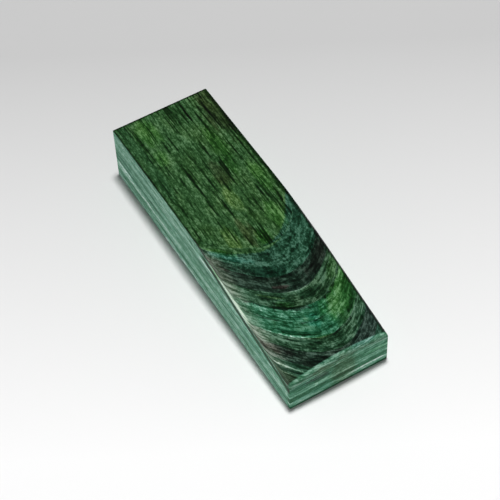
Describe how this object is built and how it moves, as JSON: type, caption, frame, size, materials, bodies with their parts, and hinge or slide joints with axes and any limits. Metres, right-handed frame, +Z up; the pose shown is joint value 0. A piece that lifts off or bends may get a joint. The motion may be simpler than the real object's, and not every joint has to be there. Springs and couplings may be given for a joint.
{
  "type": "pakka wood block",
  "caption": "Rectangular block of dyed veneers pressed flat on each other, one end worked down to a crowned ramp that shows the plies as curved bands.",
  "frame": {"origin": "middle of the flat underside", "axes": "+Y along the block, away from the worked end; +X across it; +Z up through the plies"},
  "size_m": [0.04, 0.125, 0.025],
  "materials": {
    "moss": "moss green dyed veneer, sanded and oiled, dark pores along the grain",
    "forest": "dark green dyed veneer, sanded and oiled",
    "deep_teal": "deep teal dyed veneer, sanded and oiled",
    "bright_teal": "bright teal dyed veneer, sanded and oiled",
    "pale_teal": "pale teal dyed veneer, sanded and oiled",
    "black": "near-black dyed veneer, sanded and oiled"
  },
  "bodies": {
    "root": {"ply_01_moss": "moss", "ply_02_deep_teal": "deep_teal", "ply_03_black": "black", "ply_04_forest": "forest", "ply_05_bright_teal": "bright_teal", "ply_06_bright_teal": "bright_teal", "ply_07_forest": "forest", "ply_08_black": "black", "ply_09_pale_teal": "pale_teal", "ply_10_forest": "forest", "ply_11_black": "black", "ply_12_pale_teal": "pale_teal", "ply_13_deep_teal": "deep_teal", "ply_14_bright_teal": "bright_teal", "ply_15_black": "black", "ply_16_pale_teal": "pale_teal", "ply_17_forest": "forest", "ply_18_deep_teal": "deep_teal", "ply_19_bright_teal": "bright_teal", "ply_20_pale_teal": "pale_teal", "ply_21_black": "black"}
  },
  "joints": []
}
